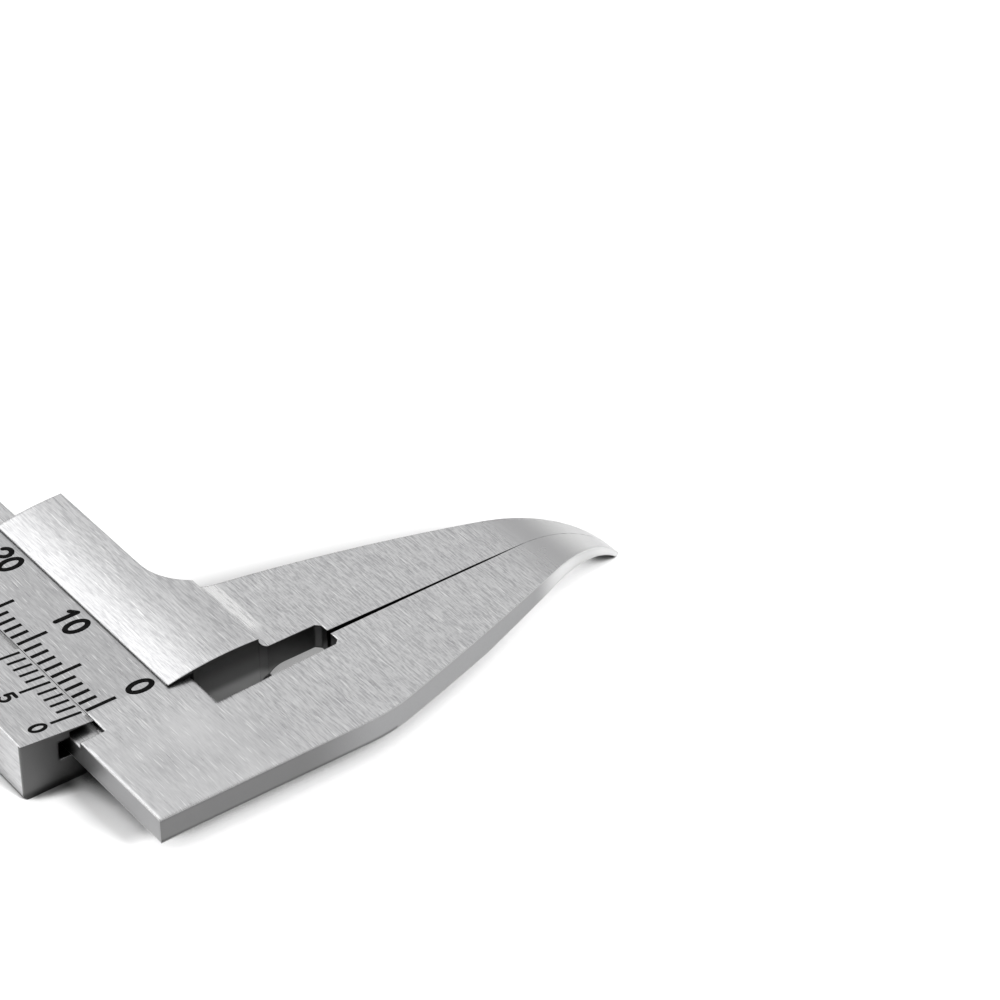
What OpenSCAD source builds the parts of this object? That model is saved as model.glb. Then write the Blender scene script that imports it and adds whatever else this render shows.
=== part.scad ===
// Dental vernier caliper with bent, pointed jaws. All sizes are in millimetres.
// Origin: centre of the slider's flat back face.
// X runs along the bar towards the fixed jaw, Y runs along the jaws to their tips,
// Z rises from the back face through the scale face.

/* [Bar] */
// Width of the bar
bar_w = 10.75; // [8:0.25:16]
// Thickness of the bar and of both jaws
bar_t = 2.2; // [1.8:0.1:3.5]
// Width of the shallow step under the vernier flange
step_w = 2.2; // [1.6:0.1:3]
// Depth of that step
step_d = 0.55; // [0.4:0.05:0.9]
// Distance from the measuring plane back to the end of the step
step_end = 0.3; // [0:0.1:1.2]
// Bar left over behind the end stop
bar_tail = 1.5; // [0.5:0.5:6]
// Corner cut at the far end of the bar
bar_corner = 1.2; // [0.4:0.1:2]

/* [Slider] */
// Length of the slider along the bar
slider_l = 25.4; // [20:0.2:40]
// Thickness of the slider's back plate
back_t = 2.31; // [1.8:0.01:3]
// Thickness of the wall on the vernier side
wall_t = 3.2; // [2.4:0.1:5]
// Width of the rail on the jaw side
rail_w = 4; // [3:0.1:6]
// How far the lip of the rail reaches over the bar
lip_w = 2; // [1:0.1:3]
// Highest point of the domed band above the scale face
crown_h = 0.8; // [0.7:0.05:1.2]
// Radius of the domed band
crown_r = 30; // [26:1:60]
// Reach of the band beyond the slider's jaw side
band_w = 2.25; // [1.5:0.05:3]
// Radius of the hollow foot where the band runs down to the jaw
band_foot_r = 0.55; // [0.4:0.05:1.5]
// Gap from the slider's end to the measuring plane
end_gap = 1.8; // [1.5:0.1:2.5]
// Radius of the hollow step behind the moving jaw
foot_r = 2; // [1:0.1:2.1]
// Radius of the neck between the slider and the moving jaw
neck_r = 5; // [3:0.1:7]
// Edge break around the back plate
edge_cut = 0.25; // [0.1:0.05:0.5]

/* [Jaws] */
// Reach of the jaws beyond the bar
jaw_l = 39.5; // [34:0.5:50]
// Width of the fixed jaw at its root
fixed_w = 10.7; // [8:0.1:15]
// Width of the moving jaw at its root
moving_w = 11.1; // [9:0.1:15]
// Straight part of the fixed jaw's outer edge beyond the bar
shoulder_l = 10; // [7:0.5:13]
// Rounding of the fixed jaw's shoulder
shoulder_r = 15; // [5:1:20]
// Radius of the bowed outer edge of the fixed jaw
fixed_bow = 390; // [200:10:800]
// Radius of the bowed outer edge of the moving jaw
moving_bow = 145; // [110:5:400]
// Width of the fixed jaw's tip
tip_fixed = 1.2; // [0.6:0.05:2]
// Width of the moving jaw's tip
tip_moving = 0.4; // [0.3:0.05:1.5]
// Thickness of each tip
tip_t = 0.35; // [0.3:0.05:0.8]
// Angle through which the tips are bent to the back
bend_angle = 49; // [42:1:58]
// Thickness where the bend starts
bend_t = 1.45; // [1:0.05:1.6]
// Length over which a jaw thins towards its tip
thin_l = 18.2; // [15:0.2:20]
// Length of the notch between the jaws
notch_l = 11.6; // [9:0.1:14]
// Depth of the notch into the moving jaw
notch_moving = 1.4; // [0.8:0.1:1.5]
// Depth of the notch into the fixed jaw at the bar
notch_fixed = 1.95; // [1:0.05:3]
// Depth of the notch into the fixed jaw at its far end
notch_end = 1.55; // [0.8:0.05:3]
// Cut across the far corners of the notch
notch_cut = 0.4; // [0.2:0.05:0.6]
// Width of the relief slit at the notch
slit_w = 0.45; // [0.2:0.05:0.8]
// Length of the measuring faces at the tips
contact_l = 8.5; // [6:0.5:14]

/* [Scales] */
// Travel of the slider from closed to fully open
travel = 80; // [40:5:150]
// Main scale marks beyond the travel
scale_extra = 10; // [9:1:15]
// Distance from the zero mark to the measuring plane
zero_back = 3.2; // [2.8:0.1:6]
// Length of a short main mark
mark_short = 1.55; // [1:0.05:2]
// Length of a long main mark
mark_long = 2.65; // [2.2:0.05:3]
// Width of a main mark
mark_w = 0.26; // [0.12:0.02:0.3]
// Length of a short vernier mark
vernier_short = 1.65; // [1:0.05:2]
// Length of a long vernier mark
vernier_long = 2.7; // [2.2:0.05:3.2]
// Width of a vernier mark
vernier_w = 0.21; // [0.1:0.01:0.25]
// Depth of the marks
mark_d = 0.08; // [0.05:0.01:0.15]
// Tilt of the vernier face
vernier_tilt = 5; // [0:0.5:8]

/* [Gib and lock] */
// Thickness of the gib strip
gib_t = 0.95; // [0.8:0.05:1.5]
// Radius of the gib screws
gib_screw_r = 0.8; // [0.5:0.05:0.8]
// Distance of each gib screw from the slider's end
gib_screw_inset = 4.7; // [4:0.1:7]
// Distance of the gib's ends from the slider's ends
gib_inset = 2.2; // [0.4:0.1:3]
// Depth of the gib screws' dog points in the gib
dog_d = 0.35; // [0.2:0.05:0.5]
// Radius of the lock screw's shank
lock_r = 1; // [0.7:0.05:1.3]
// Radius of the lock screw's knurled head
lock_head_r = 2.7; // [2:0.1:2.9]
// Length of the lock screw's head
lock_head_l = 3.4; // [2:0.1:6]
// Grooves round the lock screw's head
lock_grooves = 28; // [12:2:36]

/* [End stop] */
// Length of the end stop along the bar
stop_l = 5; // [4:0.5:9]
// Thickness of the end stop
stop_t = 1.4; // [1:0.1:1.7]
// Distance of the end stop from each edge of the bar
stop_inset = 1; // [0.5:0.1:2]
// Radius of the stop screws' shanks
stop_screw_r = 0.7; // [0.5:0.05:0.9]
// Radius of the stop screws' heads
stop_head_r = 1.3; // [1.1:0.05:1.5]

/* [Clearances] */
// Running clearance between the bar and the slider
run = 0.04; // [0.02:0.01:0.08]
// Clearance around the gib strip
gib_gap = 0.04; // [0.02:0.01:0.08]
// Clearance between the closed measuring faces
jaw_gap = 0.02; // [0.01:0.01:0.05]
// Running clearance of the lock screw
lock_gap = 0.03; // [0.02:0.01:0.06]
// Height of the tips above the plane the caliper lies on
tip_lift = 0.05; // [0:0.05:0.3]
// Clearance at the end stop when fully open
stop_gap = 0.1; // [0.05:0.05:0.5]
// Gap between the vernier flange's edge and the wall of the step
edge_gap = 0.08; // [0.04:0.02:0.2]

/* [Hidden] */
$fn = 96;

over = 1;
steel = [0.74, 0.74, 0.75];
dark_steel = [0.45, 0.45, 0.47];
black = [0.03, 0.03, 0.03];
brass = [0.78, 0.6, 0.3];

// Across the bar
slider_w = wall_t + gib_gap + gib_t + run + bar_w + run + rail_w;
low_y = -slider_w / 2;
high_y = slider_w / 2;
gib_y = low_y + wall_t + gib_gap;
bar_y = gib_y + gib_t + run;
bar_top_y = bar_y + bar_w;
flange_y = bar_y + step_w - edge_gap;
lip_y = bar_top_y - lip_w;
band_y = high_y + band_w;
crown_y = high_y;

// Through the thickness
back_z = back_t + run;
front_z = back_z + bar_t;
step_z = front_z - step_d;
flange_z = step_z + run;
flange_lift = 0.05;
gib_h = flange_z - back_t - 2 * gib_gap;
gib_z = back_t + gib_gap + gib_h / 2;

// Along the bar
near_x = slider_l / 2;
far_x = -slider_l / 2;
measure_x = near_x + end_gap;
zero_x = measure_x - zero_back;
stop_x = far_x - travel - stop_gap;
bar_end_x = stop_x - stop_l - bar_tail;

// Jaws
tip_y = bar_top_y + jaw_l;
shoulder_y = bar_top_y + shoulder_l;
notch_y = bar_top_y + notch_l;
thin_y = tip_y - thin_l;
contact_y = tip_y - contact_l;
bend_drop = front_z - tip_lift - tip_t * cos(bend_angle);
bend_r = bend_drop / (1 - cos(bend_angle));
bend_y = tip_y - bend_r * sin(bend_angle);
bend_z = front_z - bend_r;
hollow_r = bend_r - bend_t;
hollow_y = bend_y + (bend_t - tip_t) / sin(bend_angle);
thin_reach = norm([thin_y - hollow_y, back_z - bend_z]);
thin_turn = atan2(back_z - bend_z, thin_y - hollow_y) - acos(hollow_r / thin_reach);
thin_end = [hollow_y + hollow_r * cos(thin_turn), bend_z + hollow_r * sin(thin_turn)];

// Centre of a bow of radius r through a and b, to the right of the line a to b for side 1
function bow_centre(a, b, r, side) =
  (a + b) / 2 + side * sqrt(r * r - pow(norm(b - a) / 2, 2)) * [b.y - a.y, a.x - b.x] / norm(b - a);

// Outer edge of the moving jaw: the neck, a bow up to the bend, a straight tip
bow_faces = 1440;
bow_gap = 0.5;
bow_y = bend_y - bow_gap;
moving_root = [measure_x - moving_w, high_y];
moving_end = [measure_x - jaw_gap - tip_moving, tip_y];
moving_c = bow_centre(moving_root, moving_end, moving_bow, 1);
moving_bend = [moving_c.x - sqrt(pow(moving_bow, 2) - pow(bow_y - moving_c.y, 2)), bow_y];
neck_y = high_y + neck_r;
neck_x = moving_c.x - sqrt(pow(moving_bow + neck_r, 2) - pow(neck_y - moving_c.y, 2));
neck_turn = atan2(moving_c.y - neck_y, moving_c.x - neck_x);
neck_end = [neck_x, neck_y] + neck_r * [cos(neck_turn), sin(neck_turn)];

// Outer edge of the fixed jaw: the shoulder, a bow up to the bend, a straight tip
fixed_x = measure_x + fixed_w;
fixed_root = [fixed_x, shoulder_y];
fixed_end = [measure_x + tip_fixed, tip_y];
fixed_c = bow_centre(fixed_root, fixed_end, fixed_bow, -1);
fixed_bend = [fixed_c.x + sqrt(pow(fixed_bow, 2) - pow(bow_y - fixed_c.y, 2)), bow_y];
shoulder_x = fixed_x - shoulder_r;
shoulder_mid = fixed_c.y + sqrt(pow(fixed_bow - shoulder_r, 2) - pow(shoulder_x - fixed_c.x, 2));
shoulder_turn = atan2(shoulder_mid - fixed_c.y, shoulder_x - fixed_c.x);
shoulder_end = [shoulder_x, shoulder_mid] + shoulder_r * [cos(shoulder_turn), sin(shoulder_turn)];

// Scales
mark_gap = 0.1;
mark_y = bar_y + step_w + mark_gap;
vernier_start = 0.2;
vernier_step = 0.9;
vernier_count = 10;
long_every = 5;
mark_count = travel + scale_extra;

// Screws
gib_screw_x = near_x - gib_screw_inset;
gib_screw_sink = 0.3;
gib_screw_l = wall_t + gib_gap - gib_screw_sink;
dog_share = 0.6;
dog_r = gib_screw_r * dog_share;
slot_w = 0.3;
slot_d = 0.4;
lock_x = 0;
lock_neck_share = 1.5;
lock_neck_r = lock_r * lock_neck_share;
lock_neck_l = 0.5;
lock_cut = 0.4;
groove_r = 0.16;
stop_screw_gap = (bar_w - 2 * stop_inset) / 4;
stop_screw_x = stop_x - stop_l / 2;
bar_mid_y = bar_y + bar_w / 2;
sink_d = stop_head_r - stop_screw_r;

// Extrudes an outline drawn in Y and Z along X
module along_x(x0, x1) {
  translate([x0, 0, 0])
    rotate([90, 0, 90])
      linear_extrude(x1 - x0)
        children();
}

// Side outline shared by both jaws: flat front, thinned back, tip bent to the back
module jaw_side(y0) {
  difference() {
    union() {
      translate([y0, 0])
        square([bend_y - y0, front_z]);
      intersection() {
        translate([bend_y, bend_z])
          circle(bend_r);
        polygon([
          [bend_y, bend_z],
          [bend_y, bend_z + 2 * bend_r],
          [bend_y + 2 * bend_r * sin(bend_angle / 2), bend_z + 2 * bend_r * cos(bend_angle / 2)],
          [bend_y + 2 * bend_r * sin(bend_angle), bend_z + 2 * bend_r * cos(bend_angle)]
        ]);
      }
    }
    translate([hollow_y, bend_z])
      circle(hollow_r);
    polygon([
      [y0 - over, bend_z - over],
      [y0 - over, back_z],
      [thin_y, back_z],
      thin_end,
      [hollow_y, bend_z],
      [hollow_y, bend_z - over]
    ]);
  }
}

// Plan of the bar and the fixed jaw
module bar_plan() {
  difference() {
    polygon([
      [bar_end_x, bar_y + bar_corner],
      [bar_end_x + bar_corner, bar_y],
      [fixed_x, bar_y],
      [fixed_x, bow_y],
      fixed_bend,
      fixed_end,
      [measure_x, tip_y],
      [measure_x, contact_y],
      [measure_x + slit_w / 2, notch_y],
      [measure_x + notch_end - notch_cut, notch_y],
      [measure_x + notch_end, notch_y - notch_cut],
      [measure_x + notch_fixed, bar_top_y],
      [bar_end_x + bar_corner, bar_top_y],
      [bar_end_x, bar_top_y - bar_corner]
    ]);
    difference() {
      translate([shoulder_x, shoulder_mid])
        square([shoulder_r + over, shoulder_end.y - shoulder_mid]);
      translate([shoulder_x, shoulder_mid])
        circle(shoulder_r, $fn = bow_faces);
    }
    difference() {
      translate([measure_x, shoulder_mid])
        square([fixed_w + over, bow_y - shoulder_mid]);
      translate(fixed_c)
        circle(fixed_bow, $fn = bow_faces);
    }
  }
}

// Plan of the slider and the moving jaw
module slider_plan() {
  difference() {
    polygon([
      [far_x, low_y],
      [near_x, low_y],
      [near_x, band_y],
      [measure_x - notch_moving, band_y + band_foot_r],
      [measure_x - notch_moving, notch_y - notch_cut],
      [measure_x - notch_moving + notch_cut, notch_y],
      [measure_x - jaw_gap - slit_w / 2, notch_y],
      [measure_x - jaw_gap, contact_y],
      [measure_x - jaw_gap, tip_y],
      moving_end,
      moving_bend,
      [neck_x, bow_y],
      [neck_x, high_y],
      [far_x, high_y]
    ]);
    translate([neck_x, neck_y])
      circle(neck_r);
    difference() {
      translate([neck_x - over, neck_end.y])
        square([measure_x - neck_x + over, bow_y - neck_end.y]);
      translate(moving_c)
        circle(moving_bow, $fn = bow_faces);
    }
  }
}

// Side outline of the slider: back plate, wall, vernier flange, domed band and jaw
module slider_side() {
  difference() {
    union() {
      polygon([
        [low_y, edge_cut],
        [low_y + edge_cut, 0],
        [band_y - edge_cut, 0],
        [band_y, edge_cut],
        [band_y, front_z],
        [low_y, front_z]
      ]);
      polygon([
        [low_y, front_z - over],
        [flange_y, front_z - over],
        [flange_y, front_z + flange_lift],
        [low_y, front_z + flange_lift + (flange_y - low_y) * tan(vernier_tilt)]
      ]);
      difference() {
        intersection() {
          translate([crown_y, front_z + crown_h - crown_r])
            circle(crown_r, $fn = 360);
          translate([lip_y, front_z - over])
            square([band_y + band_foot_r - lip_y, 2 * crown_h + over]);
        }
        translate([band_y + band_foot_r, front_z + band_foot_r])
          circle(band_foot_r);
        translate([band_y, front_z + band_foot_r])
          square([band_foot_r + over, 2 * crown_h]);
      }
      difference() {
        translate([band_y - over, back_z - foot_r])
          square([foot_r + over, bar_t + foot_r]);
        translate([band_y + foot_r, back_z - foot_r])
          circle(foot_r);
      }
      jaw_side(high_y);
    }
    translate([gib_y - gib_gap, back_t])
      square([bar_top_y + run - gib_y + gib_gap, flange_z - back_t]);
    translate([bar_y, back_t])
      square([bar_top_y + run - bar_y, front_z + run - back_t]);
    translate([flange_y, back_t])
      square([lip_y - flange_y, front_z]);
  }
}

// One mark groove or its filling, centred on X, starting at Y = 0 and sunk into Z = 0
module mark(w, l) {
  translate([-w / 2, 0, -mark_d])
    cube([w, l, mark_d]);
}

module main_marks() {
  for (i = [0:mark_count])
    translate([zero_x - i, mark_y, front_z])
      mark(mark_w, i % long_every == 0 ? mark_long : mark_short);
}

module vernier_marks() {
  translate([zero_x, flange_y, front_z + flange_lift])
    rotate([-vernier_tilt, 0, 0])
      for (i = [0:vernier_count]) {
        l = i % long_every == 0 ? vernier_long : vernier_short;
        translate([-i * vernier_step, -vernier_start - l, 0])
          mark(vernier_w, l);
      }
}

// A cylinder lying along Y from y0 to y1
module along_y(x, z, r, y0, y1) {
  translate([x, y0, z])
    rotate([-90, 0, 0])
      cylinder(r = r, h = y1 - y0);
}

module stop_screw_places() {
  for (side = [-1, 1])
    translate([stop_screw_x, bar_mid_y + side * stop_screw_gap, 0])
      children();
}

module bar() {
  color(steel)
    difference() {
      intersection() {
        linear_extrude(front_z + over)
          bar_plan();
        along_x(bar_end_x - over, fixed_x + over)
          union() {
            translate([bar_y, back_z])
              square([bar_w + over, bar_t]);
            jaw_side(bar_top_y);
          }
      }
      translate([bar_end_x - over, bar_y - over, step_z])
        cube([measure_x - step_end - bar_end_x + over, step_w + over, step_d + over]);
      main_marks();
      stop_screw_places() {
        translate([0, 0, back_z - over])
          cylinder(r = stop_screw_r, h = bar_t + 2 * over);
        translate([0, 0, front_z - sink_d])
          cylinder(r1 = stop_screw_r, r2 = stop_head_r, h = sink_d);
      }
    }
}

module main_scale() {
  color(black)
    main_marks();
}

module slider() {
  color(steel)
    difference() {
      intersection() {
        linear_extrude(front_z + 2 * crown_h)
          slider_plan();
        along_x(far_x - over, measure_x + over)
          slider_side();
      }
      vernier_marks();
      for (side = [-1, 1])
        along_y(side * gib_screw_x, gib_z, gib_screw_r, low_y - over, gib_y);
      along_y(lock_x, gib_z, lock_r + lock_gap, low_y - over, gib_y);
    }
}

module vernier_scale() {
  color(black)
    vernier_marks();
}

module gib() {
  color(brass)
    difference() {
      translate([far_x + gib_inset, gib_y, gib_z - gib_h / 2])
        cube([slider_l - 2 * gib_inset, gib_t, gib_h]);
      for (side = [-1, 1])
        along_y(side * gib_screw_x, gib_z, dog_r, gib_y - over, gib_y + dog_d);
    }
}

module gib_screws() {
  color(dark_steel)
    for (side = [-1, 1])
      difference() {
        union() {
          along_y(side * gib_screw_x, gib_z, gib_screw_r, gib_y - gib_screw_l, gib_y);
          along_y(side * gib_screw_x, gib_z, dog_r, gib_y - over, gib_y + dog_d);
        }
        translate([side * gib_screw_x - gib_screw_r - over, gib_y - gib_screw_l - over, gib_z - slot_w / 2])
          cube([2 * gib_screw_r + 2 * over, slot_d + over, slot_w]);
      }
}

module lock_screw() {
  color(steel)
    translate([lock_x, low_y, gib_z])
      rotate([90, 0, 0])
        difference() {
          rotate_extrude()
            polygon([
              [0, -wall_t - gib_gap + lock_gap],
              [lock_r - lock_cut, -wall_t - gib_gap + lock_gap],
              [lock_r, -wall_t - gib_gap + lock_gap + lock_cut],
              [lock_r, lock_gap],
              [lock_neck_r, lock_gap],
              [lock_neck_r, lock_neck_l],
              [lock_head_r - lock_cut, lock_neck_l],
              [lock_head_r, lock_neck_l + lock_cut],
              [lock_head_r, lock_neck_l + lock_head_l - lock_cut],
              [lock_head_r - lock_cut, lock_neck_l + lock_head_l],
              [0, lock_neck_l + lock_head_l]
            ]);
          for (i = [1:lock_grooves])
            rotate([0, 0, i * 360 / lock_grooves])
              translate([lock_head_r, 0, lock_neck_l - over])
                cylinder(r = groove_r, h = lock_head_l + 2 * over);
        }
}

module end_stop() {
  color(dark_steel)
    difference() {
      translate([stop_x - stop_l, bar_y + stop_inset, back_z - stop_t])
        cube([stop_l, bar_w - 2 * stop_inset, stop_t]);
      stop_screw_places()
        translate([0, 0, back_z - stop_t - over])
          cylinder(r = stop_screw_r, h = stop_t + 2 * over);
    }
}

module stop_screws() {
  color(steel)
    stop_screw_places()
      difference() {
        union() {
          translate([0, 0, back_z - stop_t])
            cylinder(r = stop_screw_r, h = stop_t + bar_t);
          translate([0, 0, front_z - sink_d])
            cylinder(r1 = stop_screw_r, r2 = stop_head_r, h = sink_d);
        }
        translate([-slot_w / 2, -stop_head_r - over, front_z - slot_d / 2])
          cube([slot_w, 2 * stop_head_r + 2 * over, slot_d]);
      }
}

bar();
main_scale();
slider();
vernier_scale();
gib();
gib_screws();
lock_screw();
end_stop();
stop_screws();
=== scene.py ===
import math
import bpy
import numpy as np
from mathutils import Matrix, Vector


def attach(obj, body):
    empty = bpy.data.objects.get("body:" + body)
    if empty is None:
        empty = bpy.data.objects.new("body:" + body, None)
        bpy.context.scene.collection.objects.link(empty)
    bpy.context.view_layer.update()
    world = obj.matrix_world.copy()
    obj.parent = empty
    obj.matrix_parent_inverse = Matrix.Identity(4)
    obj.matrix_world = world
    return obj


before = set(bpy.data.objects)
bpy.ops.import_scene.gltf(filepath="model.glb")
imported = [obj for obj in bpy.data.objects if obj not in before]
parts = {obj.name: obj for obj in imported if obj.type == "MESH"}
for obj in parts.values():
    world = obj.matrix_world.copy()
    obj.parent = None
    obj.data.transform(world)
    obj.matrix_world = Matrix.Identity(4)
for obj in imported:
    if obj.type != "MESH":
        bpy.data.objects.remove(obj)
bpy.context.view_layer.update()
mm = 0.001
print("caliper solids:", ", ".join(sorted(parts)))


class Wire:
    # a shader output that can be used in sums: each operator adds one Math node
    def __init__(self, net, socket):
        self.net, self.socket = net, socket

    def math(self, operation, first, second=0.0):
        return self.net.node("Math", {"operation": operation}, {0: first, 1: second})["Value"]

    def __add__(self, other):
        return self.math("ADD", self, other)

    def __radd__(self, other):
        return self.math("ADD", other, self)

    def __sub__(self, other):
        return self.math("SUBTRACT", self, other)

    def __rsub__(self, other):
        return self.math("SUBTRACT", other, self)

    def __mul__(self, other):
        return self.math("MULTIPLY", self, other)

    def __rmul__(self, other):
        return self.math("MULTIPLY", other, self)

    def __abs__(self):
        return self.math("ABSOLUTE", self)

    # 0 below low, 1 above high, an S curve between; high may be the smaller one
    def rise(self, low, high):
        limits = {"Value": self, "From Min": low, "From Max": high}
        return self.net.node("MapRange", {"interpolation_type": "SMOOTHSTEP"}, limits)["Result"]


class Net:
    # a node tree, and the one place where its nodes are made
    def __init__(self, tree):
        self.tree = tree
        tree.nodes.clear()

    def node(self, kind, settings=None, sockets=None):
        made = self.tree.nodes.new("ShaderNode" + kind)
        for name, value in (settings or {}).items():
            setattr(made, name, value)
        for key, value in (sockets or {}).items():
            named = [s for s in made.inputs if s.enabled and s.name == key]
            target = made.inputs[key] if isinstance(key, int) else named[0]
            if isinstance(value, Wire):
                self.tree.links.new(value.socket, target)
            else:
                target.default_value = value
        return {out.name: Wire(self, out) for out in made.outputs if out.enabled}

    def stretched(self, place, scale):
        return self.node("VectorMath", {"operation": "MULTIPLY"}, {0: place, 1: scale})["Vector"]

    def noise(self, place, scale, detail=3.0, rough=0.55):
        spot = self.stretched(place, scale)
        sockets = {"Vector": spot, "Scale": 1.0, "Detail": detail, "Roughness": rough}
        return self.node("TexNoise", {"noise_dimensions": "3D"}, sockets)["Fac"]

    def blend(self, amount, first, second, kind="RGBA"):
        sockets = {"Factor": amount, "A": first, "B": second}
        return self.node("Mix", {"data_type": kind}, sockets)["Result"]

    def dot(self, first, second):
        return self.node("VectorMath", {"operation": "DOT_PRODUCT"}, {0: first, 1: second})["Value"]

    def bump(self, sockets):
        return self.node("Bump", None, sockets)["Normal"]

    def surface(self, sockets):
        shader = self.node("BsdfPrincipled", None, sockets)["BSDF"]
        self.node("OutputMaterial", None, {"Surface": shader})

    def axes(self, vector):
        split = self.node("SeparateXYZ", None, {"Vector": vector})
        return split["X"], split["Y"], split["Z"]


def newFinish(name):
    finish = bpy.data.materials.new(name)
    finish.use_nodes = True
    return finish, Net(finish.node_tree)


def dress(node, finish):
    holder = parts[node]
    if not holder.material_slots:
        holder.data.materials.append(finish)
    for slot in holder.material_slots:
        slot.material = finish


def grey(level):
    return (level, level, level, 1.0)


def bevelled(net, radius):
    return net.node("Bevel", {"samples": 6}, {"Radius": radius})["Normal"]


# 1 where the rounded normal has turned away from the face, as it does along an edge
def edgeWear(net, rounded, flat):
    return (1 - net.dot(rounded, flat)).rise(0.0, 0.22)


# edges rounded in the shading by a small radius, and a mask that is 1 on the edge line, for wear and
# painted highlight
def softEdges(net, radius):
    rounded = bevelled(net, radius)
    flat = net.node("NewGeometry")["Normal"]
    return rounded, flat, edgeWear(net, rounded, flat)


# 1 in the open, falling to 0 deep in corners and slots; painted shade and light follow it
def openness(net, reach, samples=8):
    settings = {"samples": samples, "only_local": False}
    return net.node("AmbientOcclusion", settings, {"Distance": reach})["AO"]


satin = {
    "tone": (0.66, 0.66, 0.665, 1.0),
    "shade": (0.43, 0.43, 0.44, 1.0),  # in the deeper grinding lines
    "bright": (0.86, 0.86, 0.86, 1.0),  # worn edges and scratches, with painted highlights on edges and bends
    "wall": (0.33, 0.33, 0.335, 1.0),  # milled side walls, darker partly for their finish and partly as painted shade
    "tip": (0.49, 0.49, 0.495, 1.0),  # painted reflection: polished bends darker where they start
    "tipLight": (0.62, 0.62, 0.62, 1.0),  # and lighter half way along them, as painted reflection
    "cornerShade": (0.06, 0.06, 0.06, 1.0),  # painted shade in corners
    "rough": 0.31,
    "edge": 0.26 * mm,
    "tipEdge": 0.5 * mm,
    "lineDepth": 0.0018 * mm,
    "tipStart": 33.0 * mm,
    "meeting": 14.49 * mm,  # where the measuring faces meet
    "slitStart": 16.0 * mm,
    "cornerShadeReach": 2.4 * mm,
    "shadedWalls": (0.135, 0.135, 0.135, 1.0),  # painted shade on end faces, notch and slit walls
    "coarse": (480.0, 7000.0, 7000.0),  # noise cells per metre along X, Y and Z
    "fine": (1300.0, 13000.0, 13000.0),
    "scratch": (420.0, 9000.0, 9000.0),
    "cloud": (130.0, 170.0, 170.0),
    "spots": (900.0, 900.0, 900.0),
    "speck": (4000.0, 4000.0, 4000.0),
    "polishRun": 4.0 * mm,  # from ground face to full polish
    "seamHalf": 0.115 * mm,  # half width of the black line between the jaws
    "seamFade": (37.8 * mm, 30.5 * mm),
    "seamEnd": (37.0 * mm, 35.5 * mm),
    "baseX": (14.5 * mm, 16.5 * mm),  # where the base starts beside the bar, and ends at the jaw
    "baseY": (9.0 * mm, 5.0 * mm),
}
barAreas = {
    "marks": (-90.0, 11.7, -3.2, 0.2),  # lowest and highest X, then Y, of the engraved field
    "strip": (90.0, 91.0),  # no fly-cut strip on the bar
    "dark": [(14.3, 16.7, 5.3, 17.3), (14.45, 14.8, 17.3, 36.5), (-99.6, -98.8, -6.0, 6.0)],
    "field": (-99.0, 11.6, -3.2, 3.6),  # painted shade: the scale's field is a little darker
    "gap": (90.0, 91.0, 0.0, 1.0),
    "pale": (90.0, 91.0, 0.0, 1.0),
    "outer": (22.0, 25.6, -6.0, 16.0),  # painted shade: the base's outer wall is darker, most so along its foot
}
sliderAreas = {
    "marks": (1.9, 11.7, -6.4, -3.0),
    "strip": (12.3, 13.4),
    "dark": [(12.5, 14.6, -10.0, 17.3), (14.2, 14.52, 17.3, 36.5), (-13.0, -12.5, -10.0, 10.0)],
    "field": (90.0, 91.0, 0.0, 1.0),
    "gap": (12.4, 13.0, 3.4, 5.7),  # painted shade under the lip at the slider's end
    "pale": (-12.6, 12.6, -9.8, -9.4),  # the slider's outer side is kept out of the walls' painted shade and lightened a little as painted light
    "outer": (90.0, 91.0, 0.0, 1.0),
}


# 1 inside a rectangle of X and Y, 0 outside, with a soft rim
def inside(x, y, area):
    rim = 0.15 * mm
    low, high, left, right = [edge * mm for edge in area]
    across = x.rise(low - rim, low) * x.rise(high + rim, high)
    return across * y.rise(left - rim, left) * y.rise(right + rim, right)
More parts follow.
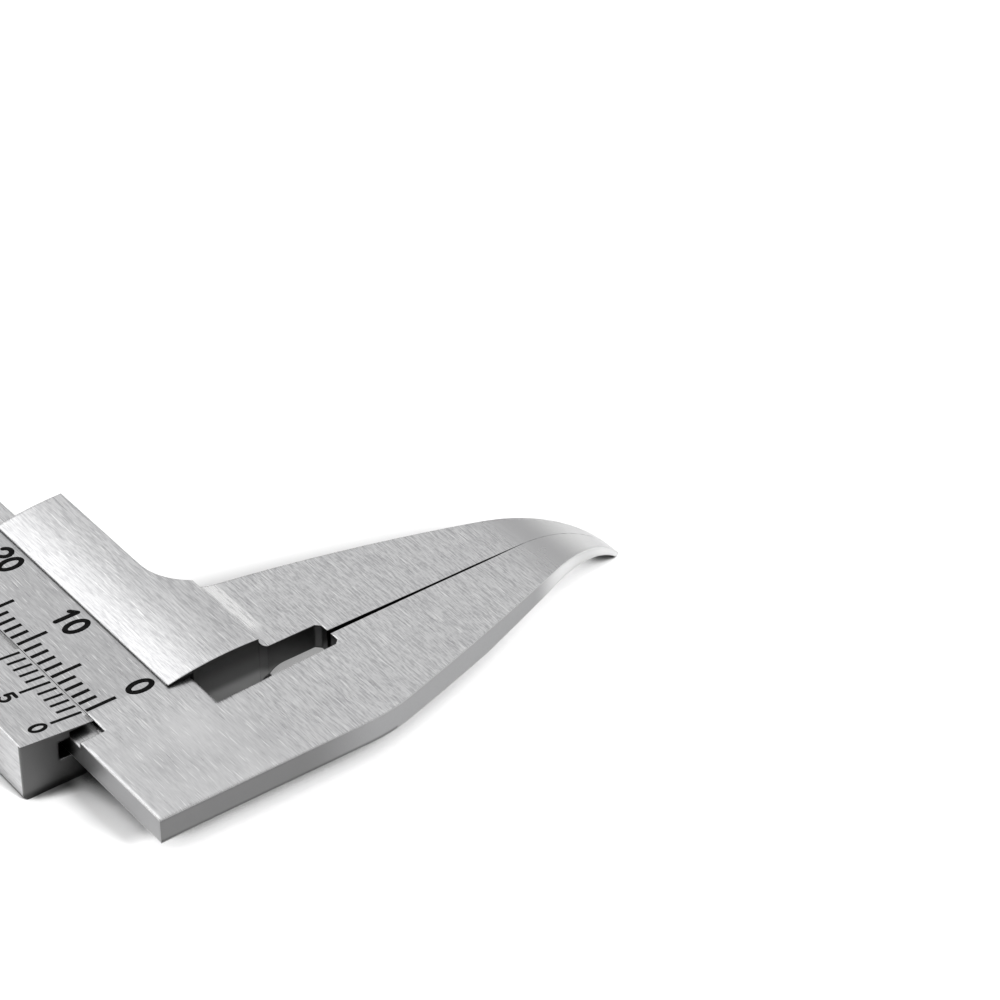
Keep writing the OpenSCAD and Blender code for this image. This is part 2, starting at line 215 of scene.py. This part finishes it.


# ground stainless steel: grinding lines along X, finer lines between them, a few bright
# scratches, cloudy patches, duller milled walls, polish towards the bent tips (large Y), and painted light
# and shade on walls, bends, edges and corners
def satinSteel(name, look, areas):
    finish, net = newFinish(name)
    place = net.node("TexCoord")["Object"]
    x, y, z = net.axes(place)
    coarse = net.noise(place, look["coarse"], 4.0)
    fine = net.noise(place, look["fine"], 2.0)
    scratch = net.noise(place, look["scratch"], 1.0).rise(0.62, 0.72)
    cloud = net.noise(place, look["cloud"], 3.0, 0.6)
    spots = net.noise(place, look["spots"], 2.0)
    speck = net.noise(place, look["speck"], 1.0)
    polish = y.rise(look["tipStart"], look["tipStart"] + look["polishRun"])
    ground = 1 - 0.85 * polish
    rounded, flat, wearAndGlint = softEdges(net, look["edge"])
    broad = bevelled(net, look["tipEdge"])
    leanX, _, leanZ = net.axes(flat)
    wall = abs(leanZ).rise(0.6, 0.3)
    shadedWalls = wall * sum(inside(x, y, area) for area in areas["dark"])
    # painted shade under the lip at the slider's end
    lipShade = inside(x, y, areas["gap"]) * z.rise(5.0 * mm, 4.75 * mm) * wall

    # tips and base are rounded more; edges stay crisp along the slit, where the tips touch
    # and at the marks
    offLine = abs(x - look["meeting"])
    pastSlit = y.rise(look["slitStart"], look["slitStart"] + mm)
    crisp = offLine.rise(0.7 * mm, 0.4 * mm) * pastSlit
    crisp = crisp.math("MAXIMUM", crisp, inside(x, y, areas["marks"]))
    base = x.rise(*look["baseX"]) * y.rise(*look["baseY"])
    normal = net.blend(polish + base, rounded, broad, "VECTOR")
    normal = net.blend(crisp, normal, flat, "VECTOR")
    normal = net.node("VectorMath", {"operation": "NORMALIZE"}, {0: normal})["Vector"]
    rim = wearAndGlint
    # wear and painted highlight on edges, wider on the base
    wearAndGlint = wearAndGlint.math("MAXIMUM", wearAndGlint, edgeWear(net, broad, flat) * base)
    upright = abs(net.axes(rounded)[2]).rise(0.4, 0.1)  # no painted highlight on upright corners
    wearAndGlint = wearAndGlint * (1 - crisp) * (1 - shadedWalls) * (1 - upright)

    # a narrow fly-cut strip beside the foot of the band, fading towards the notch
    first, last = [edge * mm for edge in areas["strip"]]
    inStrip = y.rise(first - 0.1 * mm, first + 0.2 * mm) * y.rise(last + 0.15 * mm, last - 0.2 * mm)
    facesUp = leanZ.rise(0.6, 0.9)
    inStrip = inStrip * x.rise(12.0 * mm, 9.0 * mm) * facesUp
    occluded = 1 - openness(net, look["cornerShadeReach"])

    # the jaws are ground a little coarser, and the base between bar and jaw smoother and cloudy
    jaw = y.rise(10.0 * mm, 16.0 * mm)
    keen = 1 + 0.5 * y.rise(4.0 * mm, 16.0 * mm) - 0.5 * base
    lines = 0.5 + (coarse * 0.55 + fine * 0.45 - 0.5) * keen
    lines = lines + (cloud - 0.5) * 0.35 * base + (speck - 0.5) * 0.22 * jaw
    tone = net.blend(lines.rise(0.31, 0.63), look["shade"], look["tone"])
    # painted shade on the scale's field
    tone = net.blend(inside(x, y, areas["field"]) * 0.3, tone, look["wall"])
    pale = inside(x, y, areas["pale"])
    # side walls darker, partly their milled finish and partly painted shade; the slider's outer side
    # lighter as painted light
    tone = net.blend(wall * (0.9 - 0.9 * pale), tone, look["wall"])
    tone = net.blend(wall * pale * 0.1, tone, look["bright"])

    # painted shade on the base's outer wall, darkest along its foot
    outer = wall * inside(x, y, areas["outer"]) * leanX.rise(0.3, 0.6)
    tone = net.blend(outer * y.rise(15.0 * mm, 7.0 * mm) * 0.8, tone, grey(0.17))
    tone = net.blend(outer * z.rise(2.75 * mm, 2.45 * mm) * 0.7, tone, grey(0.05))
    # painted shade on the end faces, notch and slit walls
    tone = net.blend(shadedWalls, tone, look["shadedWalls"])

    # painted light and shade in the notch: lighter low down, darker above and black along its rim; painted
    # shade on the end face at its foot
    notch = shadedWalls * y.rise(3.0 * mm, 6.0 * mm)
    tone = net.blend(notch * z.rise(2.6 * mm, 1.7 * mm) * 0.9, tone, grey(0.36))
    tone = net.blend(notch * z.rise(3.2 * mm, 4.4 * mm) * 0.4, tone, grey(0.05))
    tone = net.blend(notch * rim * 0.9, tone, grey(0.01))
    foot = shadedWalls * y.rise(0.0, -3.0 * mm) * z.rise(0.8 * mm, 0.25 * mm)
    tone = net.blend(foot * 0.7, tone, grey(0.02))

    # bright scratches and strip, then painted reflection on the polished tips, painted shade in corners
    # and under the lip, and worn edges with painted highlight over all
    flyCut = inStrip * (0.45 + 0.9 * coarse.rise(0.36, 0.56))
    tone = net.blend(scratch * 0.8 * (1 - wall) + flyCut, tone, look["bright"])
    # painted reflection on the polished bends, with a painted highlight on their walls
    tone = net.blend(polish, tone, look["tip"])
    tone = net.blend(polish * wall * 0.65, tone, look["bright"])
    midBend = y.rise(37.0 * mm, 40.0 * mm) * y.rise(43.0 * mm, 40.5 * mm)
    tone = net.blend(midBend, tone, look["tipLight"])
    # painted shade in corners and hollows, off the polished tips
    tone = net.blend(occluded.rise(0.18, 0.85) * 0.9 * (1 - polish), tone, look["cornerShade"])
    # painted shade, near black, on shut-in walls above 2 mm
    deep = occluded.rise(0.2, 0.5) * (wall - shadedWalls) * z.rise(1.8 * mm, 2.5 * mm)
    tone = net.blend(deep * 0.9, tone, grey(0.02))
    # painted shade under the lip
    tone = net.blend(lipShade, tone, grey(0.01))
    # worn edges with painted highlight over all
    tone = net.blend(wearAndGlint * 0.8, tone, look["bright"])

    # painted shade: the line between the jaws is black as far as the bend
    half = y.rise(*look["seamFade"]) * look["seamHalf"]
    seam = (half - offLine).rise(-0.02 * mm, 0.02 * mm) * facesUp * pastSlit * y.rise(*look["seamEnd"])
    tone = net.blend(seam, tone, grey(0.004))

    rough = look["rough"] + (coarse - 0.5) * 0.16 * ground
    rough = rough + (cloud - 0.5) * 0.12 + (spots - 0.5) * 0.05
    rough = rough + wall * 0.08 - wearAndGlint * 0.06 - polish * 0.06 - inStrip * 0.05
    height = (coarse * 0.6 + fine * 0.4 + scratch * 0.3) * ground + cloud * 0.6
    bump = {"Strength": 1.0, "Distance": look["lineDepth"], "Height": height, "Normal": normal}
    sockets = {
        "Base Color": tone,
        "Metallic": 1.0,
        "Roughness": rough,
        "Normal": net.bump(bump),
    }
    net.surface(sockets)
    return finish


# drawn brass: warm tone, lines along X, dull brown patches, painted shade in corners and worn edges with
# painted highlight
def drawnBrass(name):
    finish, net = newFinish(name)
    place = net.node("TexCoord")["Object"]
    lines = net.noise(place, (250.0, 9000.0, 9000.0), 3.0)
    stain = net.noise(place, (420.0, 700.0, 700.0), 4.0).rise(0.42, 0.7)
    rounded, _, wearAndGlint = softEdges(net, 0.08 * mm)
    occluded = 1 - openness(net, 2.0 * mm)
    tone = net.blend(stain * 0.55, (0.56, 0.40, 0.17, 1.0), (0.30, 0.19, 0.08, 1.0))
    # painted shade in corners
    tone = net.blend(occluded.rise(0.2, 0.8), tone, (0.03, 0.024, 0.018, 1.0))
    # worn edges with painted highlight
    tone = net.blend(wearAndGlint * 0.5, tone, (0.80, 0.62, 0.32, 1.0))
    bump = {"Strength": 1.0, "Distance": 0.0012 * mm, "Height": lines, "Normal": rounded}
    sockets = {
        "Base Color": tone,
        "Metallic": 1.0,
        "Roughness": 0.34 + stain * 0.2 + (lines - 0.5) * 0.12,
        "Normal": net.bump(bump),
    }
    net.surface(sockets)
    return finish


# turned or milled hard steel, darker than the satin parts, with rubbed edges that carry a painted
# highlight
def toolSteel(name, tone, shade, rough, along, edge):
    finish, net = newFinish(name)
    place = net.node("TexCoord")["Object"]
    lines = net.noise(place, along, 3.0)
    patch = net.noise(place, (600.0, 600.0, 600.0), 4.0, 0.6)
    rounded, _, wearAndGlint = softEdges(net, edge)
    colour = net.blend(patch.rise(0.35, 0.68), shade, tone)
    # rubbed edges with painted highlight
    colour = net.blend(wearAndGlint * 0.65, colour, grey(0.72))
    bump = {"Strength": 1.0, "Distance": 0.0016 * mm, "Height": lines, "Normal": rounded}
    sockets = {
        "Base Color": colour,
        "Metallic": 1.0,
        "Roughness": rough + (patch - 0.5) * 0.16 + (lines - 0.5) * 0.1 - wearAndGlint * 0.08,
        "Normal": net.bump(bump),
    }
    net.surface(sockets)
    return finish


# baked black paint in the engraved marks: dull, a little dusty, thin at the ends
def markPaint(name):
    finish, net = newFinish(name)
    place = net.node("TexCoord")["Object"]
    dust = net.noise(place, (2600.0, 2600.0, 2600.0), 3.0)
    thin = net.noise(place, (900.0, 1500.0, 1500.0), 2.0).rise(0.55, 0.8)
    tone = net.blend(dust.rise(0.45, 0.75) * 0.5 + thin * 0.35, grey(0.002), grey(0.016))
    bump = {"Strength": 0.6, "Distance": 0.004 * mm, "Height": dust}
    sockets = {
        "Base Color": tone,
        "Specular IOR Level": 0.04,
        "Roughness": 0.6 + (dust - 0.5) * 0.3,
        "Normal": net.bump(bump),
    }
    net.surface(sockets)
    return finish


barSteel = satinSteel("barSteel", satin, barAreas)
sliderSteel = satinSteel("sliderSteel", satin, sliderAreas)
blackPaint = markPaint("blackPaint")
dress("bar", barSteel)
dress("slider", sliderSteel)
dress("main_scale", blackPaint)
dress("vernier_scale", blackPaint)
dress("gib", drawnBrass("gibBrass"))
screwSteel = toolSteel("screwSteel", grey(0.34), grey(0.2), 0.36, (9000.0, 600.0, 9000.0), 0.06 * mm)
dress("gib_screws", screwSteel)
dress("stop_screws", screwSteel)
dress("lock_screw", toolSteel("lockSteel", grey(0.55), grey(0.38), 0.3, (900.0, 9000.0, 900.0), 0.07 * mm))
dress("end_stop", toolSteel("stopSteel", grey(0.42), grey(0.3), 0.38, (260.0, 8000.0, 8000.0), 0.1 * mm))
print("finishes on", len(parts), "solids")

# digit strokes in a box one unit high; an arc is centre, radii, start and end angle in degrees
# and a line is its two ends. One list is one stroke of the graver.
digitStrokes = {
    "0": [[("arc", 0.31, 0.5, 0.25, 0.45, 90, 450)]],
    "1": [[("line", 0.15, 0.76, 0.37, 0.95)], [("line", 0.37, 0.95, 0.37, 0.05)]],
    "2": [[("arc", 0.31, 0.69, 0.24, 0.26, 165, -35), ("line", 0.507, 0.541, 0.06, 0.05)],
          [("line", 0.06, 0.05, 0.57, 0.05)]],
    "3": [[("arc", 0.29, 0.72, 0.22, 0.23, 150, -85)], [("arc", 0.29, 0.28, 0.25, 0.23, 90, -150)]],
    "4": [[("line", 0.42, 0.95, 0.04, 0.3)], [("line", 0.04, 0.3, 0.6, 0.3)],
          [("line", 0.42, 0.95, 0.42, 0.05)]],
    "5": [[("line", 0.53, 0.95, 0.13, 0.95)], [("line", 0.13, 0.95, 0.1, 0.54)],
          [("arc", 0.3, 0.34, 0.26, 0.29, 140, -140)]],
    "6": [[("arc", 0.31, 0.31, 0.25, 0.26, 90, 450)], [("arc", 0.53, 0.4, 0.47, 0.56, 100, 185)]],
    "7": [[("line", 0.05, 0.95, 0.57, 0.95)], [("line", 0.57, 0.95, 0.22, 0.05)]],
    "8": [[("arc", 0.31, 0.72, 0.21, 0.23, 90, 450)], [("arc", 0.31, 0.28, 0.25, 0.23, 90, 450)]],
    "9": [[("arc", 0.31, 0.69, 0.25, 0.26, 90, 450)], [("arc", 0.09, 0.6, 0.47, 0.56, -80, 5)]],
}
digitStep = 0.72  # from one digit to the next


def strokePath(pieces, count):
    # points along the arcs and lines, then spread evenly by length
    spots = []
    for piece in pieces:
        t = np.linspace(0.0, 1.0, 60)[:, None]
        if piece[0] == "line":
            ends = np.array(piece[1:]).reshape(2, 2)
            spots.append(ends[:1] * (1 - t) + ends[1:] * t)
        else:
            turn = np.radians(piece[5] + (piece[6] - piece[5]) * t)
            across, upward = piece[1] + piece[3] * np.cos(turn), piece[2] + piece[4] * np.sin(turn)
            spots.append(np.hstack([across, upward]))
    line = np.vstack(spots)
    run = np.concatenate([[0.0], np.cumsum(np.hypot(*np.diff(line, axis=0).T))])
    even = np.linspace(0.0, run[-1], count)
    return np.stack([np.interp(even, run, line[:, 0]), np.interp(even, run, line[:, 1])], axis=1)


# an oval section carried along a stroke: side * half width * cos, up * half height * sin,
# its width closing to nothing over the last half width so that both ends are round
def strokeSurface(pieces, half, lift, sides=10):
    count = 48 if pieces[0][0] == "arc" else 16
    path = strokePath(pieces, count)
    ring = bool(np.allclose(path[0], path[-1], atol=1e-6))
    path = path[:-1] if ring else path
    way = np.gradient(path, axis=0)
    if ring:
        way = np.roll(path, -1, axis=0) - np.roll(path, 1, axis=0)
    way = way / np.linalg.norm(way, axis=1, keepdims=True)
    side = np.stack([-way[:, 1], way[:, 0]], axis=1)
    if not ring:
        path = np.vstack([path[:1] - way[:1] * half * np.array([[1.0], [0.9], [0.6]]), path,
                          path[-1:] + way[-1:] * half * np.array([[0.6], [0.9], [1.0]])])
        side = np.vstack([np.repeat(side[:1], 3, axis=0), side, np.repeat(side[-1:], 3, axis=0)])
        cap = np.concatenate([[0.02, 0.436, 0.8], np.ones(len(path) - 6), [0.8, 0.436, 0.02]])
    else:
        cap = np.ones(len(path))
    turn = np.linspace(0.0, 2 * np.pi, sides, endpoint=False)
    wide = (half * cap)[:, None] * np.cos(turn)[None, :]
    flat = path[:, None, :] + side[:, None, :] * wide[:, :, None]
    high = (lift * cap)[:, None] * np.sin(turn)[None, :]
    grid = np.concatenate([flat, high[:, :, None]], axis=2)
    rows, columns = grid.shape[:2]
    i = np.arange(rows if ring else rows - 1)[:, None]
    j = np.arange(columns)[None, :]
    nextRow, nextColumn = (i + 1) % rows, (j + 1) % columns
    quads = np.stack([i * columns + j, i * columns + nextColumn, nextRow * columns + nextColumn,
                      nextRow * columns + j], axis=2).reshape(-1, 4)
    faces = quads.tolist()
    if not ring:
        faces.append(list(range(columns))[::-1])
        faces.append(list(range((rows - 1) * columns, rows * columns)))
    return grid.reshape(-1, 3), faces


def inkPiece(name, spots, faces, body):
    mesh = bpy.data.meshes.new(name)
    mesh.from_pydata((spots * mm).tolist(), [], faces)
    mesh.update()
    piece = bpy.data.objects.new(name, mesh)
    bpy.context.scene.collection.objects.link(piece)
    mesh.materials.append(blackPaint)
    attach(piece, body)
    print(name, "has", len(mesh.polygons), "faces")
    return mesh


# a row of numbers on one face: the face's own right and up vectors place each digit
def engraveNumbers(name, numbers, look, right, up, body):
    spots, faces, total = [], [], 0
    out = np.cross(right, up)
    for label, middle in numbers:
        width = digitStep * (len(label) - 1) + 0.62
        for place, digit in enumerate(label):
            for stroke in digitStrokes[digit]:
                half = look["stroke"] / look["height"] / 2
                shape, sheet = strokeSurface(stroke, half, look["lift"] / look["height"])
                shape = (shape - [width / 2 - digitStep * place, 0.5, 0.0]) * look["height"]
                offset = shape[:, :1] * right + shape[:, 1:2] * up + shape[:, 2:] * out
                spots.append(np.array(middle) + offset)
                faces += [[k + total for k in face] for face in sheet]
                total += len(shape)
    mesh = inkPiece(name, np.vstack(spots), faces, body)
    mesh.polygons.foreach_set("use_smooth", [True] * len(faces))


# a low block of paint on each mark: foot + right * width * u + up * length * v + out * lift * w,
# with u, v and w taken at the eight corners
def paintMarks(name, foot, length, look, right, up, body):
    out = np.cross(right, up)
    corner = np.meshgrid([-0.5, 0.5], [0.0, 1.0], [-1.0, 1.0], indexing="ij")
    u, v, w = [axis.ravel()[None, :, None] for axis in corner]
    spots = foot[:, None, :] + u * look["markWide"] * right
    spots = spots + v * length[:, None, None] * up + w * look["lift"] * out
    block = np.array([[0, 1, 3, 2], [4, 6, 7, 5], [0, 4, 5, 1],
                      [2, 3, 7, 6], [0, 2, 6, 4], [1, 5, 7, 3]])
    faces = (np.arange(len(foot))[:, None, None] * 8 + block).reshape(-1, 4)
    inkPiece(name, spots.reshape(-1, 3), faces.tolist(), body)


mainNumbers = {
    "height": 2.2,  # millimetres, as all sizes of the two scales
    "stroke": 0.47,
    "lift": 0.012,
    "zero": 11.3,
    "middle": 1.84,
    "face": 4.55,
    "last": 90,
    "markFoot": -2.98,
    "markShort": 1.55,
    "markLong": 2.65,
    "markWide": 0.34,  # the paint stands a little over the engraved line
}
vernierNumbers = {
    "height": 1.45,
    "stroke": 0.32,
    "lift": 0.012,
    "step": 0.9,
    "last": 10,
    "markFoot": 0.2,
    "markShort": 1.65,
    "markLong": 2.7,
    "markWide": 0.27,
    "below": 4.0,  # from the flange's edge down its sloping face
    "edge": (-3.16, 4.6),  # the flange's edge in Y and Z
    "tilt": 5.0,  # degrees
}
alongX, alongY = np.array([1.0, 0.0, 0.0]), np.array([0.0, 1.0, 0.0])
level = mainNumbers["face"]
shown = range(0, mainNumbers["last"] + 1, 10)
rowMain = [(str(v), (mainNumbers["zero"] - v, mainNumbers["middle"], level)) for v in shown]
engraveNumbers("mainNumerals", rowMain, mainNumbers, alongX, alongY, "bar_body")
slope = math.radians(vernierNumbers["tilt"])
upSlope = np.array([0.0, math.cos(slope), -math.sin(slope)])
edgeY, edgeZ = vernierNumbers["edge"]
rowY = edgeY - vernierNumbers["below"] * math.cos(slope)
rowZ = edgeZ + vernierNumbers["below"] * math.sin(slope)
shown = range(0, vernierNumbers["last"] + 1, 5)
rowVernier = [(str(k), (mainNumbers["zero"] - vernierNumbers["step"] * k, rowY, rowZ)) for k in shown]
engraveNumbers("vernierNumerals", rowVernier, vernierNumbers, alongX, upSlope, "slider_body")

# marks are counted from zero towards the bar's far end, every fifth is long
count = np.arange(mainNumbers["last"] + 1)
foot = np.array([mainNumbers["zero"], mainNumbers["markFoot"], level]) - count[:, None] * alongX
length = np.where(count % 5 == 0, mainNumbers["markLong"], mainNumbers["markShort"])
paintMarks("mainMarks", foot, length, mainNumbers, alongX, alongY, "bar_body")
count = np.arange(vernierNumbers["last"] + 1)
length = np.where(count % 5 == 0, vernierNumbers["markLong"], vernierNumbers["markShort"])
foot = np.array([mainNumbers["zero"], edgeY, edgeZ]) - count[:, None] * vernierNumbers["step"] * alongX
foot = foot - (vernierNumbers["markFoot"] + length)[:, None] * upSlope
paintMarks("vernierMarks", foot, length, vernierNumbers, alongX, upSlope, "slider_body")

studio = {
    "floorDrop": 0.05 * mm,
    "floorTone": (0.9, 0.9, 0.9, 1.0),
    "floorReach": 3.0,
    "floorGlow": 0.2,
    "bounce": (9.8, 11.8, 13.7, 19.4),  # lowest and highest X, then Y, in millimetres
    "bounceGlow": 0.32,
    "shadowReach": 5.0 * mm,
    "nook": (12.9, 14.4, -9.6, -8.4),  # where a shadow beside the slider's end fades: X, then Y
    "front": 0.55,  # dome level on the side of the camera
    "behind": 0.82,  # dome level that the flat faces mirror
    "dusk": 0.12,  # how much darker the dome is a little lower, where the bends mirror it
    "low": 0.95,  # dome level near the horizon behind the caliper
    "backWay": (-0.80, 0.60, 0.0),
    "panelWay": (-0.66, -0.12, 0.74),
    "panelLevel": 1.3,
    "lampWay": (0.513, 0.109, 0.328),  # towards the lamp, low on the right
    "lampSpread": 12.0,  # degrees
    "lampPower": 3.3,
}


# a pale dome: dimmer towards the camera, brighter behind the caliper and most near the
# horizon there, with one soft bright panel high on the left
def lightDome(look):
    world = bpy.data.worlds.new("studioDome")
    bpy.context.scene.world = world
    world.use_nodes = True
    net = Net(world.node_tree)
    way = net.node("TexCoord")["Generated"]
    height = net.axes(way)[2]
    back = net.dot(way, look["backWay"])
    panel = net.dot(way, tuple(Vector(look["panelWay"]).normalized()))
    level = look["front"] + back.rise(-0.2, 0.45) * (look["behind"] - look["front"])
    level = level + height.rise(0.45, 0.05) * back.rise(0.1, 0.6) * (look["low"] - look["behind"])
    dim = height.rise(0.52, 0.42) * height.rise(0.10, 0.28) * back.rise(0.1, 0.6)
    level = level - dim * look["dusk"]
    level = level + panel.rise(0.90, 0.965) * look["panelLevel"]
    glow = net.node("Background", None, {"Color": level, "Strength": 1.0})["Background"]
    net.node("OutputWorld", None, {"Surface": glow})


# a far, wide lamp that gives the floor its even light and the caliper its shadow
def softLamp(look):
    lamp = bpy.data.lights.new("sideLamp", "SUN")
    lamp.angle = math.radians(look["lampSpread"])
    lamp.energy = look["lampPower"]
    holder = bpy.data.objects.new("sideLamp", lamp)
    bpy.context.scene.collection.objects.link(holder)
    holder.location = look["lampWay"]
    holder.visible_glossy = False  # it lights the floor; the steel mirrors the dome
    holder.rotation_euler = Vector(look["lampWay"]).to_track_quat("Z", "Y").to_euler()


def paleFloor(look):
    finish, net = newFinish("paleFloor")
    place = net.node("TexCoord")["Object"]
    cloud = net.noise(place, (14.0, 14.0, 14.0), 2.0)
    clear = openness(net, look["shadowReach"], 32)
    tone = net.blend(cloud, grey(0.885), look["floorTone"])
    x, y, _ = net.axes(place)
    # light that comes up through the notch while the jaws are closed
    bounce = inside(x, y, look["bounce"]) * clear.rise(0.6, 0.4)
    tone = net.blend(clear.rise(0.24, 0.36), grey(0.08), tone)  # painted shade, deeper where things meet it
    nearX, farX, farY, nearY = [edge * mm for edge in look["nook"]]
    nook = x.rise(farX, nearX) * x.rise(nearX - 2.0 * mm, nearX - mm)
    nook = nook * y.rise(farY, nearY) * y.rise(-4.0 * mm, -6.0 * mm)
    nook = nook * clear.rise(0.62, 0.48)  # only while the slider stands there
    tone = net.blend(nook * 0.92, tone, grey(0.05))
    # painted light: the floor glows in the mild shade around the caliper, not in the open nor where things
    # meet it
    fill = clear.rise(0.38, 0.52) * clear.rise(1.0, 0.7) * (1 - nook)
    glow = fill * look["floorGlow"] + bounce * look["bounceGlow"]
    path = net.node("LightPath")
    seen = path["Is Camera Ray"] + path["Is Glossy Ray"] + path["Is Transmission Ray"]
    sockets = {
        "Base Color": tone,
        "Roughness": 0.8,
        "Specular IOR Level": 0.2,
        "Emission Color": seen.rise(0.0, 1.0) * glow,
        "Emission Strength": 1.0,
    }
    net.surface(sockets)
    reach, drop = look["floorReach"], -look["floorDrop"]
    mesh = bpy.data.meshes.new("paleFloor")
    corners = [(u * reach, v * reach, drop) for u, v in ((-1, -1), (1, -1), (1, 1), (-1, 1))]
    mesh.from_pydata(corners, [], [(0, 1, 2, 3)])
    mesh.materials.append(finish)
    floor = bpy.data.objects.new("paleFloor", mesh)
    bpy.context.scene.collection.objects.link(floor)


lightDome(studio)
softLamp(studio)
paleFloor(studio)
print("studio set")

viewPoint = {
    "place": (0.1922, -0.1007, 0.17295),
    "turn": (53.8, 0.0, 52.9),  # degrees
    "lens": 126.0,  # millimetres, as the sensor
    "sensor": 36.0,
    "near": 0.001,
}
camera = bpy.data.cameras.new("viewCamera")
camera.lens = viewPoint["lens"]
camera.sensor_width = viewPoint["sensor"]
camera.clip_start = viewPoint["near"]
cameraHolder = bpy.data.objects.new("viewCamera", camera)
bpy.context.scene.collection.objects.link(cameraHolder)
cameraHolder.location = viewPoint["place"]
cameraHolder.rotation_euler = [math.radians(a) for a in viewPoint["turn"]]
bpy.context.scene.camera = cameraHolder
bpy.context.scene.view_settings.view_transform = "Standard"

bpy.context.view_layer.update()
